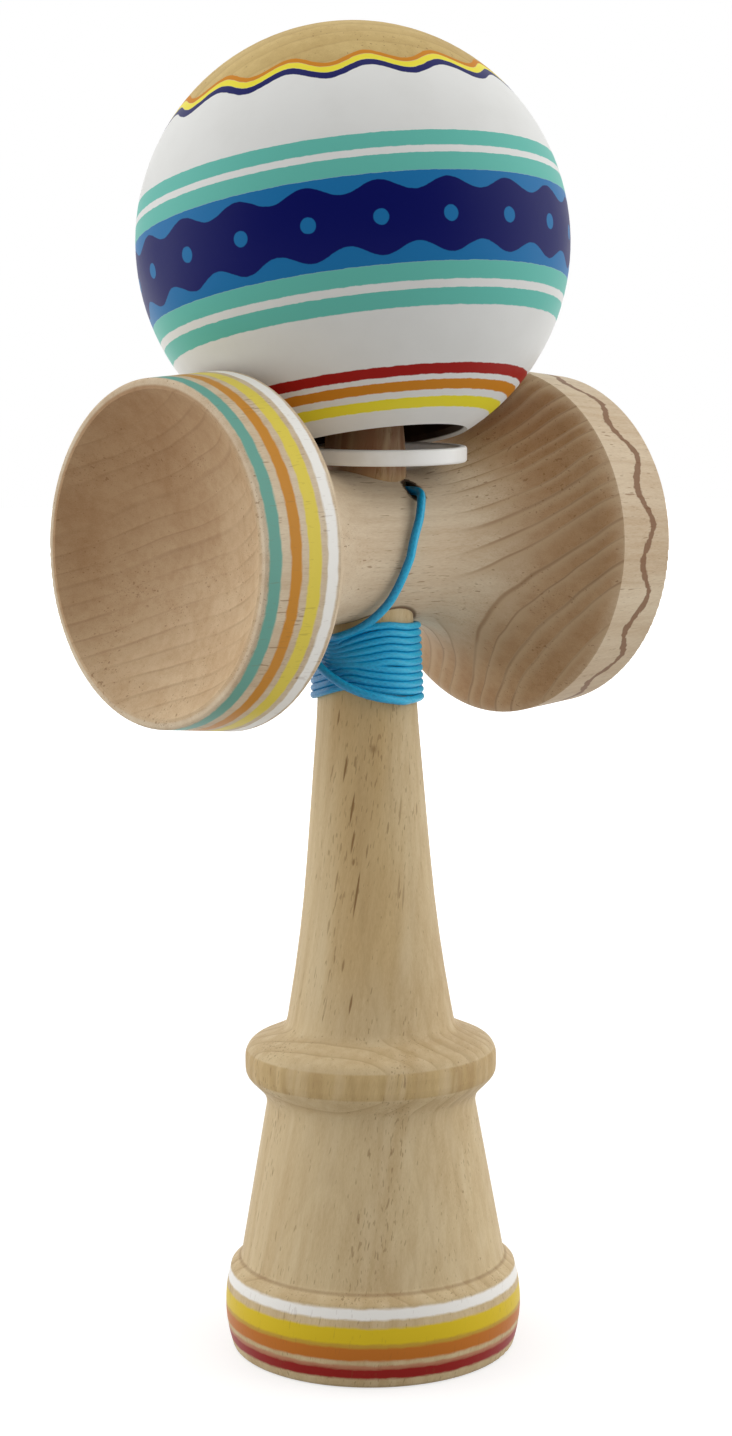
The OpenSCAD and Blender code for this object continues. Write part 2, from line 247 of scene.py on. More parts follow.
# The riser crosses over the winding's front, goes up behind the cross-piece and over the ball.
RISER_FOOT = [
    (-2.6, -8.1, 93.35), (-4.9, -7.5, 93.8), (-6.5, -6.1, 94.4), (-7.8, -4.3, 95.3), (-8.5, -2.3, 96.4),
    (-8.8, -0.2, 97.7), (-8.6, 2, 99.1), (-7.9, 4, 100.4), (-6.8, 6, 101.8), (-5.5, 7.8, 103.3),
    (-4, 9.4, 105), (-2.6, 10.8, 107), (-1.5, 12, 109.3),
]
BEHIND = Vector((-0.8, 13.4, 111.8))
HUG_R = BALL_R + CORD_GAP + CORD_R
HUG_END = math.radians(9)  # before the ball's own top
HUG_COUNT = 18
RISE_COUNT = 9
TOP_H = math.sqrt(BALL_R**2 - (TOP_HOLE_R + TOP_BEVEL) ** 2)
LEAD_TOP_H = TOP_H - TOP_BEVEL - CORD_D
# Over the edge of the hole at the top of the ball, and down its axis: points for ball_frame.
OVER_EDGE = ((2.8, 30.6), (1.4, 30.2), (0.4, 29.2), (0, 28), (0, LEAD_TOP_H))
LEAD = ((0, LEAD_TOP_H), (0, 22), (0, 18), (0, 14), (0, 11.6))


def hug_at(a):
    return BALL_MID + HUG_R * Vector((0, math.cos(a), math.sin(a)))


def riser():
    """The riser's points, and the one where it comes to lie along the ball."""
    end, way = winding_end()
    out = end + way
    off = BEHIND - BALL_MID
    low = math.atan2(off.z, off.y) + math.acos(HUG_R / math.hypot(off.y, off.z))
    top = math.pi / 2 - BALL_LEAN - HUG_END
    rise = [lerp(BEHIND, hug_at(low), i / RISE_COUNT) for i in range(RISE_COUNT)]
    hug = [hug_at(lerp(low, top, i / HUG_COUNT)) for i in range(HUG_COUNT + 1)]
    down = [ball_frame(w, h) for w, h in OVER_EDGE]
    return [out, out + way] + RISER_FOOT + rise + hug + down, hug_at(low)


# The braid of the cord's own shape: strands each way, depth, length of one turn and mean of the weave.
STRANDS = 3
BRAID_DEPTH = 0.01
BRAID_LAY = 1.5
BRAID_MEAN = 0.55
STEEP = 0.9  # as a cosine: a cord that starts nearer to upright takes its first up from X


def tube(name, line, half_widths, sides=14):
    """A braided cord swept along a line given in mm. half_widths(i) gives the cord's half widths at
    point i, in the winding first along the handle and then away from it."""
    n = len(line)
    ways = [(line[min(i + 1, n - 1)] - line[max(i - 1, 0)]).normalized() for i in range(n)]
    mesh = bpy.data.meshes.new(name)
    bm = bmesh.new()
    uv = bm.loops.layers.uv.new("along")
    rings, run, runs = [], 0.0, []
    up = Vector((0, 0, 1))
    if abs(ways[0].dot(up)) > STEEP:
        up = Vector((1, 0, 0))
    for i in range(n):
        t = ways[i]
        up = (up - up.dot(t) * t).normalized()
        side = t.cross(up)
        if i:
            run += (line[i] - line[i - 1]).length
        runs.append(run)
        a, b = half_widths(i)
        turn = 2 * math.pi * run / BRAID_LAY
        ring = []
        for j in range(sides):
            q = 2 * math.pi * j / sides
            weave = max(math.cos(STRANDS * q + turn), math.cos(STRANDS * q - turn))
            r = 1 + BRAID_DEPTH / a * (weave - BRAID_MEAN)
            off = r * (a * math.cos(q) * up + b * math.sin(q) * side)
            ring.append(bm.verts.new((line[i] + off) * MM))
        rings.append(ring)
    for i in range(n - 1):
        for j in range(sides):
            k = (j + 1) % sides
            f = bm.faces.new((rings[i][j], rings[i][k], rings[i + 1][k], rings[i + 1][j]))
            f.smooth = True
            for loop, (u, v) in zip(f.loops, ((j, i), (j + 1, i), (j + 1, i + 1), (j, i + 1))):
                loop[uv].uv = (u / sides, runs[v])
    bm.faces.new(list(reversed(rings[0])))
    bm.faces.new(rings[-1])
    bmesh.ops.recalc_face_normals(bm, faces=bm.faces[:])
    bm.to_mesh(mesh)
    bm.free()
    obj = bpy.data.objects.new(name, mesh)
    bpy.context.scene.collection.objects.link(obj)
    return obj


KNOT_COUNT = 72
KNOT_SIZE = 0.34
KNOT_RISE = 1.6
KNOT_CORD_R = 0.52
KNOT_SIDES = 12


def knot(name, mid, up):
    """An overhand knot pulled tight: a trefoil of cord, with its middle at mid."""
    turn = Vector((0, 0, 1)).rotation_difference(up)
    line = []
    for i in range(KNOT_COUNT + 1):
        t = 2 * math.pi * i / KNOT_COUNT
        x = math.sin(t) + 2 * math.sin(2 * t)
        y = math.cos(t) - 2 * math.cos(2 * t)
        z = -KNOT_RISE * math.sin(3 * t)
        line.append(mid + turn @ (Vector((x, y, z)) * KNOT_SIZE))
    return tube(name, line, lambda i: (KNOT_CORD_R, KNOT_CORD_R), KNOT_SIDES)


tail_count = len(smooth_path(TAIL))
wound_line = smooth_path(TAIL + winding())
riser_points, hug_low_point = riser()
riser_line = smooth_path(riser_points)
lead_line = smooth_path([ball_frame(w, h) for w, h in LEAD])

WOUND_HALF = (0.53, 0.5)
DRAW_COUNT = 40  # rings over which the round tail is drawn flat


def wound_widths(i):
    """Round in the tail, drawn flat against its neighbours in the winding."""
    drawn = min(1, max(0, (i - tail_count + DRAW_COUNT / 2) / DRAW_COUNT))
    return [lerp(CORD_R, half, drawn) for half in WOUND_HALF]


def round_widths(i):
    return CORD_R, CORD_R


BALL_KNOT_H = POCKET_TOP_H - CORD_GAP - 2 * BEAD_R - KNOT_R
string_wound = tube("string_wound", wound_line, wound_widths)
string_up = tube("string_up", riser_line, round_widths)
string_lead = tube("string_in_ball", lead_line, round_widths)
knot_in_ball = knot("knot_in_ball", ball_frame(0, BALL_KNOT_H), BALL_UP)
knot_in_ken = knot("knot_in_ken", Vector((HOLE_X, KEN_KNOT_Y, HOLE_Z)), Vector((0, 1, 0)))
CORDS = (string_wound, string_up, string_lead, knot_in_ball, knot_in_ken)


# Materials.

# Sockets of the Mix node, for colours and for plain values.
MIX_A, MIX_B, MIX_OUT = 6, 7, 2
VALUE_A, VALUE_B, VALUE_OUT = 2, 3, 0


def srgb(r, g, b):
    """A colour given as 0 to 255 screen values, as linear values."""
    def line(c):
        c /= 255
        return c / 12.92 if c <= 0.04045 else ((c + 0.055) / 1.055) ** 2.4
    return (line(r), line(g), line(b), 1.0)


class Tree:
    """Short ways to add shader nodes to one material or world."""

    def __init__(self, tree, out):
        self.nt = tree
        self.nt.nodes.clear()
        self.out = self.nt.nodes.new(out)

    @classmethod
    def of_material(cls, name):
        mat = bpy.data.materials.new(name)
        mat.use_nodes = True
        t = cls(mat.node_tree, "ShaderNodeOutputMaterial")
        t.mat = mat
        return t

    def node(self, kind, **props):
        n = self.nt.nodes.new(kind)
        for k, v in props.items():
            setattr(n, k, v)
        return n

    def put(self, socket, value):
        if isinstance(value, bpy.types.NodeSocket):
            self.nt.links.new(value, socket)
        else:
            socket.default_value = value

    def math(self, op, a, b=0.0, c=None):
        n = self.node("ShaderNodeMath", operation=op)
        self.put(n.inputs[0], a)
        self.put(n.inputs[1], b)
        if c is not None:
            self.put(n.inputs[2], c)
        return n.outputs[0]

    def add(self, a, b):
        return self.math("ADD", a, b)

    def sub(self, a, b):
        return self.math("SUBTRACT", a, b)

    def mul(self, a, b):
        return self.math("MULTIPLY", a, b)

    def most(self, a, b):
        return self.math("MAXIMUM", a, b)

    def mul_add(self, a, b, c):
        return self.math("MULTIPLY_ADD", a, b, c)

    def abs(self, a):
        return self.math("ABSOLUTE", a)

    def hypot(self, a, b):
        return self.math("SQRT", self.add(self.mul(a, a), self.mul(b, b)))

    def vec(self, op, a, b=None, scale=None):
        n = self.node("ShaderNodeVectorMath", operation=op)
        self.put(n.inputs[0], a)
        if b is not None:
            self.put(n.inputs[1], b)
        if scale is not None:
            self.put(n.inputs["Scale"], scale)
        return n.outputs["Value"] if op in ("LENGTH", "DOT_PRODUCT") else n.outputs["Vector"]

    def xyz(self, v):
        n = self.node("ShaderNodeSeparateXYZ")
        self.put(n.inputs[0], v)
        return n.outputs

    def join(self, x, y, z):
        n = self.node("ShaderNodeCombineXYZ")
        for s, v in zip(n.inputs, (x, y, z)):
            self.put(s, v)
        return n.outputs[0]

    def noise(self, v, scale, detail, rough=0.5):
        n = self.node("ShaderNodeTexNoise")
        self.put(n.inputs["Vector"], v)
        self.put(n.inputs["Scale"], scale)
        self.put(n.inputs["Detail"], detail)
        self.put(n.inputs["Roughness"], rough)
        return n.outputs["Fac"]

    def step(self, x, low, high, to_low=0.0, to_high=1.0):
        n = self.node("ShaderNodeMapRange", interpolation_type="SMOOTHSTEP")
        n.clamp = True
        self.put(n.inputs["Value"], x)
        self.put(n.inputs["From Min"], low)
        self.put(n.inputs["From Max"], high)
        self.put(n.inputs["To Min"], to_low)
        self.put(n.inputs["To Max"], to_high)
        return n.outputs["Result"]

    def mix(self, f, a, b, how="MIX"):
        n = self.node("ShaderNodeMix", data_type="RGBA", blend_type=how)
        self.put(n.inputs["Factor"], f)
        self.put(n.inputs[MIX_A], a)
        self.put(n.inputs[MIX_B], b)
        return n.outputs[MIX_OUT]

    def shade(self, a, b):
        return self.mix(1.0, a, b, "MULTIPLY")

    def blend(self, f, a, b):
        n = self.node("ShaderNodeMix", data_type="FLOAT")
        self.put(n.inputs["Factor"], f)
        self.put(n.inputs[VALUE_A], a)
        self.put(n.inputs[VALUE_B], b)
        return n.outputs[VALUE_OUT]

    def place(self):
        """The point in the part's own frame, in mm."""
        n = self.node("ShaderNodeTexCoord")
        return self.vec("SCALE", n.outputs["Object"], scale=1 / MM)

    def normal(self):
        """The way the face looks, in the part's own frame."""
        return self.node("ShaderNodeTexCoord").outputs["Normal"]

    def band(self, x, low, high, soft=0.06):
        """1 between low and high, 0 outside."""
        return self.mul(self.step(x, low - soft, low + soft), self.step(x, high - soft, high + soft, 1, 0))

    def bump(self, height, distance, strength):
        n = self.node("ShaderNodeBump")
        self.put(n.inputs["Strength"], strength)
        self.put(n.inputs["Distance"], distance)
        self.put(n.inputs["Height"], height)
        return n.outputs[0]

    def surface(self, colour, rough, normal, specular=0.5):
        n = self.node("ShaderNodeBsdfPrincipled")
        self.put(n.inputs["Base Color"], colour)
        self.put(n.inputs["Roughness"], rough)
        self.put(n.inputs["Normal"], normal)
        self.put(n.inputs["Specular IOR Level"], specular)
        self.nt.links.new(n.outputs[0], self.out.inputs["Surface"])


class Wood:
    """Bare beech: year rings round a pith line, soft streaks along the grain, short dark flecks and
    fine fibre. along, a and b are coordinates in mm, the first along the grain."""

    def __init__(self, t, along, a, b, seed, light, dark, fleck_colour):
        self.t, self.along, self.a, self.b, self.seed = t, along, a, b, seed
        self.fleck_colour, self.dark = fleck_colour, dark
        soft = self.cells(0.015, 0.1, detail=2.0, rough=0.55)
        streak = self.cells(0.04, 0.8, detail=3.0, rough=0.6)
        fine = self.cells(0.9, 6.5, detail=2.0, rough=0.65)
        tone = t.add(t.step(soft, 0.3, 0.7, -0.1, 0.35), t.step(streak, 0.35, 0.7, 0.0, 0.3))
        tone = t.add(tone, t.step(fine, 0.3, 0.72, 0.0, 0.3))
        self.colour = t.mix(tone, light, dark)
        self.fleck = 0.0
        self.height = t.mul(fine, 0.4)

    def cells(self, run, across, detail=1.0, rough=0.5, shift=0.0):
        """Noise drawn out along the grain; run and across are cells to the millimetre."""
        t = self.t
        along = t.mul(self.along, run)
        a = t.mul(self.a, across)
        b = t.mul_add(self.b, across, self.seed + shift)
        return t.noise(t.join(along, a, b), 1.0, detail, rough)

    def wander(self, d, amount, run, across, shift):
        """d moved to and fro by a slow noise along the grain."""
        return self.t.mul_add(self.cells(run, across, 2.0, 0.5, shift), amount, d)

    def uneven(self, d, amount, per_mm, shift):
        """d with wider and narrower years."""
        t = self.t
        return t.mul_add(t.noise(t.join(t.mul(d, per_mm), self.seed, shift), 1.0, 1.0), amount, d)

    def year(self, d, gap, start):
        """How far the year has come at d, from 0 to 1; start keeps it above zero."""
        t = self.t
        return t.math("FRACT", t.math("DIVIDE", t.add(d, start), gap))

    def rings(self, pith_a, pith_b, gap, soft_share, line_share):
        """Year rings: each darkens slowly to a thin line and starts light again."""
        t = self.t
        d = t.hypot(t.sub(self.a, pith_a), t.sub(self.b, pith_b))
        d = self.wander(d, amount=2.4, run=0.02, across=0.07, shift=3.0)
        d = self.uneven(d, amount=3.0, per_mm=0.3, shift=0.0)
        turn = self.year(d, gap, start=500.0)
        late = t.mul(t.step(turn, 0.3, 0.94), t.step(turn, 0.95, 1.0, 1, 0))
        line = t.mul(t.step(turn, 0.8, 0.92), t.step(turn, 0.93, 1.0, 1, 0))
        patchy = t.step(self.cells(0.05, 0.12, shift=9.0), 0.3, 0.7, 0.4, 1.0)
        self.stain(t.mul(late, soft_share), self.dark)
        self.stain(t.mul(t.mul(line, patchy), line_share), self.fleck_colour)

    def straight_lines(self, w, gap, share):
        """Faint lines at a steady distance, where year rings are cut flat."""
        t = self.t
        w = self.wander(w, amount=3.0, run=0.03, across=0.05, shift=21.0)
        w = self.uneven(w, amount=2.4, per_mm=0.4, shift=4.0)
        turn = self.year(w, gap, start=300.0)
        late = t.mul(t.mul(turn, 0.5), t.step(turn, 0.94, 1.0, 1, 0))
        line = t.add(late, t.mul(t.band(turn, 0.84, 0.95, 0.05), 0.5))
        patchy = t.step(self.cells(0.06, 0.1, shift=27.0), 0.35, 0.65, 0.3, 1.0)
        self.stain(t.mul(t.mul(line, patchy), share), self.fleck_colour)

    def flecks(self, run, across, low, high, share):
        """Short dark flecks along the grain, denser in some places."""
        t = self.t
        dense = self.cells(0.03, 0.12, shift=5.0)
        level = t.step(dense, 0.35, 0.7, high, low)
        over = t.sub(self.cells(run, across, rough=0.4, shift=17.0), level)
        self.mark(t.mul(t.step(over, -0.005, 0.05), share))

    def mark(self, m):
        """A fleck where m is 1: dark and a little sunk."""
        t = self.t
        self.stain(m, self.fleck_colour)
        self.fleck = t.most(self.fleck, m)
        self.height = t.sub(self.height, t.mul(m, 0.6))

    def stain(self, m, colour):
        """The given colour where m is 1."""
        self.colour = self.t.mix(m, self.colour, colour)

    def tint(self, m, tint):
        """The wood's own colour times a tint where m is 1."""
        self.stain(m, self.t.shade(self.colour, tint))


PAINT_WEAR = 0.4


def painted(wood, x, bands, soft):
    """Painted rings over wood: each band is (low, high, colour). Returns colour, cover and height."""
    t = wood.t
    colour, cover = wood.colour, 0.0
    for low, high, paint in bands:
        m = t.band(x, low, high, soft)
        colour = t.mix(m, colour, paint)
        cover = t.most(cover, m)
    colour = t.mix(t.mul(cover, t.mul(wood.fleck, PAINT_WEAR)), colour, wood.fleck_colour)
    height = t.add(t.mul(wood.height, t.mul_add(cover, -0.6, 1.0)), t.mul(cover, 0.5))
    return colour, cover, height


def turned_surface(wood, colour, cover, height):
    """Turned wood with paint: flecks are rougher than bare wood, paint is smoother."""
    t = wood.t
    rough = t.sub(t.mul_add(wood.fleck, 0.1, 0.55), t.mul(cover, 0.14))
    t.surface(colour, rough, t.bump(height, 0.00006, 0.6), specular=0.16)


def brush_edge(t, v, reach):
    """How far a brushed edge strays at v, up to about half of reach each way."""
    return t.mul_add(t.noise(v, 1.0, 3.0, 0.6), reach, -reach / 2)


# Wood, stains and painted shade.
WOOD = srgb(216, 194, 153)
WOOD_DARK = srgb(190, 162, 119)
FLECK = srgb(124, 88, 48)
CAP_WOOD = srgb(212, 186, 126)
CAP_DARK = srgb(186, 156, 98)
PALE_WOOD = srgb(224, 206, 178)
PALE_DARK = srgb(196, 168, 134)
PALE_FLECK = srgb(136, 98, 64)
PALE_STREAK = srgb(226, 207, 170)
SHADED_STREAK = srgb(214, 186, 138)
BEAD_WOOD = srgb(176, 140, 94)
BEAD_DARK = srgb(140, 100, 60)
CREASE_SHADE_BROWN = srgb(128, 92, 54)
HOLE_BURN = srgb(58, 34, 18)
JOINT_BROWN = srgb(96, 62, 34)
WAVE_BURN = srgb(122, 80, 48)
BORE_SHADE_LIGHT = srgb(52, 36, 24)
BORE_SHADE_DARK = srgb(38, 26, 18)

# Paint, plastic and cord, and the cord's painted highlight.
WHITE = srgb(231, 231, 228)
WHITE_GRIMY = srgb(214, 213, 208)
YELLOW = srgb(238, 224, 56)
ORANGE = srgb(206, 132, 34)
RED = srgb(160, 26, 20)
TEAL = srgb(103, 190, 176)
BLUE = srgb(28, 114, 172)
NAVY = srgb(4, 11, 92)
RING_WHITE = srgb(248, 247, 244)
RING_DULL = srgb(238, 236, 231)
CORD_DEEP = srgb(0, 138, 192)
CORD_BLUE = srgb(12, 174, 224)
CORD_PALE = srgb(24, 184, 228)
CORD_HIGHLIGHT = srgb(44, 206, 240)

# Tints, which the wood's or cord's own colour is multiplied by: all painted shade, the collar's partly its
# long grain too.
FRONT_BACK_SHADE_TINT = (0.97, 0.91, 0.8, 1)
COLLAR_SHADE_LIGHT = (0.92, 0.86, 0.72, 1)
COLLAR_SHADE_DARK = (0.76, 0.67, 0.52, 1)
SPIKE_SHADE_TINT = (0.72, 0.58, 0.5, 1)
UNDER_BALL_SHADE_TINT = (0.66, 0.54, 0.6, 1)
BOWL_SHADE_LOW = (0.95, 0.87, 0.76, 1)
BOWL_SHADE_HIGH = (0.64, 0.49, 0.365, 1)
FLARE_SHADE_LOW = (0.7, 0.55, 0.42, 1)
FLARE_SHADE_HIGH = (0.58, 0.42, 0.29, 1)
CORD_SHADE = (0.5, 0.54, 0.68, 1)

# Painted rings: from, to and colour, by height on the base, by x on the small cup and by height over
# the ball's middle on the ball. A later ring lies over an earlier one.
BASE_BANDS = [
    (2.9, 3.5, srgb(188, 128, 96)), (1.5, 3.0, srgb(150, 24, 18)), (5.6, 7.0, srgb(196, 156, 58)),
    (4.2, 6.0, srgb(194, 114, 38)), (6.55, 8.75, srgb(222, 192, 36)),
    (9.85, 11.25, srgb(247, 244, 238)),
]
CUP_BANDS = [
    (-37.45, -35.6, srgb(111, 169, 154)), (-34.2, -32.5, srgb(206, 140, 51)),
    (-31.45, -29.45, srgb(232, 211, 86)), (-28.5, -26.9, srgb(253, 250, 243)),
]
BALL_BANDS = [
    (6.05, 8.15, TEAL), (2.75, 5.1, TEAL), (-8.7, 2.75, BLUE), (-10.9, -8.7, TEAL),
    (-13.95, -11.9, TEAL), (-21.8, -20.6, RED), (-23.5, -22.4, ORANGE), (-25.4, -24.25, YELLOW),
]

# Heights on the handle, from and to.
FRONT_BACK_SHADE_Z = (46.0, 60.0)
COLLAR_Z = (38.8, 44.2)
SPIKE_SHADE_Z = (112.0, 119.0)
UNDER_BALL_SHADE_Z = (124.5, 133.0)
CREASE_SHADE_Z = (12.6, 12.95)

# Dark dashes on the front of the shaft: angle in degrees, height, length in mm and strength.
DASHES = [
    (-157, 83.8, 3.6, 1.0), (-149, 78.2, 4.3, 1.0), (-148, 73.7, 3.2, 0.9), (-144, 66.4, 5.9, 1.0),
    (-102, 65.9, 3.6, 0.45), (-163, 68.4, 2.3, 0.6), (-169, 61.8, 2.3, 0.5), (-154, 56.6, 1.8, 0.7),
    (-147, 51.4, 2.7, 0.95), (-167, 50.4, 3.6, 0.4), (-100, 77.8, 3.8, 0.45), (-77, 77.7, 1.8, 0.6),
    (-167, 90.8, 2.3, 0.7), (-106, 67.2, 3.6, 0.45), (-147, 70.9, 1.0, 0.8),
]
DASH_SLOPE = 0.15
DASH_HALF = 0.14
DASH_SHARE = 0.78
SPOT_ANGLE, SPOT_Z, SPOT_R, SPOT_SHARE = -127, 86.5, 0.95, 0.5

# The cross-piece: the small cup's bowl and outer face by radius, the joint with the handle, and the
# big cup's waved ring.
BOWL_EDGE_R = (21.7, 22.1)
OUTER_R = (22.1, 22.4)
JOINT_R = (6.75, 7.2)
WAVE_COUNT, WAVE_SWING, WAVE_X = 15.0, 1.2, 31.7

# The ball's ribbon and dots, and the waved edge of its bare cap. The border's colours go by height over
# that edge, and the bore's painted shade starts between two depths under the ball's face.
RIBBON_WAVES, RIBBON_SWING, RIBBON_HALF, RIBBON_DROP = 20.0, 0.75, 4.0, 2.85
DOT_COUNT, DOT_R, DOT_EDGE_R = 10, 0.95, 1.1
CAP_WAVES, CAP_SWING, CAP_H = 14.0, 0.8, 18.9
CAP_NAVY = (-1.5, -0.5)
CAP_YELLOW = (-0.5, 0.4)
CAP_ORANGE = (0.4, 1.1)
CAP_EDGE = (0.33, 0.47)
BORE_SHADE_DEPTH = (0.7, 0.4)

CORD_STRANDS = 4
CORD_LAY = 1.1


def ken_material():
    t = Tree.of_material("ken_beech")
    p = t.place()
    x, y, z = t.xyz(p)
    a = t.mul_add(z, -0.11, x)
    b = t.mul_add(z, 0.1, y)
    wood = Wood(t, z, a, b, 3.0, WOOD, WOOD_DARK, FLECK)
    turn = t.math("ARCTAN2", y, x)
    radius = t.hypot(x, y)
    # painted shade: the shaft is darker and browner down its front and back, the faces turned away from
    # the two side lamps
    off = t.mul_add(x, SIDE.x, t.mul(y, SIDE.y))
    off = t.abs(t.add(off, t.mul_add(wood.cells(0.03, 0.2), 5.0, -2.0)))
    front_back_shade = t.mul(t.step(t.math("DIVIDE", off, radius), 0.25, 0.8, 1, 0), t.step(z, *FRONT_BACK_SHADE_Z))
    wood.tint(front_back_shade, FRONT_BACK_SHADE_TINT)
    # the collar's side is darker and browner than the faces above and below it: partly its long grain,
    # partly painted shade that marks the edge between them
    n_z = t.xyz(t.normal())[2]
    side = t.mul(t.band(n_z, -0.45, 0.42), t.band(z, *COLLAR_Z, soft=0.3))
    board = t.noise(t.join(t.mul(turn, 6.0), t.mul(z, 0.04), 2.0), 1.0, 2.0, 0.6)
    board = t.step(board, 0.35, 0.65)
    wood.tint(side, t.mix(board, COLLAR_SHADE_LIGHT, COLLAR_SHADE_DARK))
    # painted shade: the spike is darker and browner above the cross-piece, and more so in a band under the
    # ball and ring
    wood.tint(t.step(z, *SPIKE_SHADE_Z), SPIKE_SHADE_TINT)
    wood.tint(t.band(z, *UNDER_BALL_SHADE_Z, soft=1.2), UNDER_BALL_SHADE_TINT)
    # paler streaks down the handle, less pale in the painted shade down its front and back, and year rings
    # where a face cuts across the grain
    pale = t.step(wood.cells(0.012, 0.5, 2.0, 0.55, 33.0), 0.42, 0.74, 0.0, 0.4)
    wood.stain(pale, t.mix(front_back_shade, PALE_STREAK, SHADED_STREAK))
    across = t.step(t.abs(n_z), 0.3, 0.6)
    soft = t.mul_add(across, 0.3, 0.1)
    line = t.mul_add(across, 0.12, 0.04)
    wood.rings(pith_a=46.0, pith_b=20.0, gap=2.4, soft_share=soft, line_share=line)
    wood.flecks(0.3, 2.1, low=0.675, high=0.77, share=0.42)
    wood.flecks(0.55, 3.4, low=0.63, high=0.72, share=0.34)
    for angle, mid, length, strength in DASHES:
        u = t.mul(t.sub(turn, math.radians(angle)), radius)
        u = t.abs(t.sub(u, t.mul(t.sub(z, mid), DASH_SLOPE)))
        v = t.mul(t.sub(z, mid), 2 / length)
        half = t.mul_add(t.mul(v, v), -DASH_HALF, DASH_HALF)
        wood.mark(t.mul(t.step(t.sub(u, half), -0.06, 0.1, 1, 0), strength * DASH_SHARE))
    spot = t.hypot(t.mul(t.sub(turn, math.radians(SPOT_ANGLE)), radius), t.sub(z, SPOT_Z))
    wood.mark(t.step(spot, 0.0, SPOT_R, SPOT_SHARE, 0))
    edge = brush_edge(t, t.vec("MULTIPLY", p, (0.5, 0.5, 1.6)), 0.5)
    colour, cover, height = painted(wood, t.add(z, edge), BASE_BANDS, 0.24)
    # painted shade: a faint brown line in the crease where the bell meets the base's ledge
    colour = t.mix(t.mul(t.band(z, *CREASE_SHADE_Z, soft=0.15), 0.4), colour, CREASE_SHADE_BROWN)
    turned_surface(wood, colour, cover, height)
    return t.mat


def sarado_material():
    t = Tree.of_material("sarado_beech")
    p = t.place()
    x, y, z = t.xyz(p)
    zc = t.sub(z, CROSS_Z)
    wood = Wood(t, x, zc, y, 11.0, PALE_WOOD, PALE_DARK, PALE_FLECK)
    r = t.hypot(y, zc)
    n_x = t.xyz(t.normal())[0]
    # painted shade on the faces that look to -X: the bowl of the small cup darkens towards its top and +Y
    # side, the flare of the big one towards the ball above it
    minus_x_faces = t.step(n_x, -0.8, -0.3, 1, 0)
    bowl = t.mul(t.mul(minus_x_faces, t.step(x, -10.0, -5.0, 1, 0)), t.step(r, *BOWL_EDGE_R, 1, 0))
    flare = t.mul(minus_x_faces, t.step(x, -5.0, 8.0))
    wood.tint(bowl, t.mix(t.step(t.add(y, zc), -26.0, 26.0), BOWL_SHADE_LOW, BOWL_SHADE_HIGH))
    wood.tint(flare, t.mix(t.step(zc, 4.0, 26.0), FLARE_SHADE_LOW, FLARE_SHADE_HIGH))
    # the pith lies far off to the front and below, so the rings cut the flare in slanting planes
    lines = t.mul(t.step(x, -5.0, 16.0), t.step(t.abs(n_x), 0.05, 0.45, 0.15, 1.0))
    lines = t.mul(lines, t.step(n_x, 0.3, 0.6, 1.0, 0.4))
    soft = t.mul(lines, 0.85)
    line = t.mul(lines, 0.6)
    wood.rings(pith_a=-241.0, pith_b=-222.0, gap=2.5, soft_share=soft, line_share=line)
    wood.straight_lines(t.mul_add(y, 0.32, zc), gap=2.6, share=t.mul(bowl, 0.36))
    wood.flecks(0.3, 2.4, low=0.665, high=0.75, share=0.55)
    wood.flecks(0.6, 4.6, low=0.64, high=0.72, share=0.3)
    # a ragged burnt edge round the string hole
    burnt = t.hypot(t.sub(x, HOLE_X), t.sub(z, HOLE_Z))
    burnt = t.add(burnt, t.mul_add(t.noise(p, 1.7, 2.0), 1.1, -0.55))
    burnt = t.step(burnt, HOLE_R + 0.15, HOLE_R + 0.65, 0.92, 0)
    wood.stain(t.mul(burnt, t.step(y, -2.0, -1.0, 1, 0)), HOLE_BURN)
    # a dark line where the handle goes in from below
    joint = t.mul(t.step(t.hypot(x, y), *JOINT_R, 0.8, 0), t.step(zc, -6.0, -5.0, 1, 0))
    wood.stain(joint, JOINT_BROWN)
    edge = brush_edge(t, t.vec("MULTIPLY", p, (1.6, 0.5, 0.5)), 0.5)
    outer = t.step(r, *OUTER_R)
    colour, cover, height = painted(wood, t.add(x, edge), CUP_BANDS, 0.18)
    colour = t.mix(outer, wood.colour, colour)
    cover = t.mul(cover, outer)
    # a plain waved ring burnt into the big cup's band
    turn = t.math("ARCTAN2", zc, y)
    wave_x = t.mul_add(t.math("SINE", t.mul(turn, WAVE_COUNT)), WAVE_SWING, WAVE_X)
    off = t.abs(t.sub(t.add(x, t.mul(edge, 1.6)), wave_x))
    off = t.add(off, t.mul(t.sub(wood.cells(0.4, 0.9, 2.0), 0.5), 1.4))
    colour = t.mix(t.mul(t.step(off, 0.5, 0.8, 0.85, 0), outer), colour, WAVE_BURN)
    turned_surface(wood, colour, cover, height)
    return t.mat


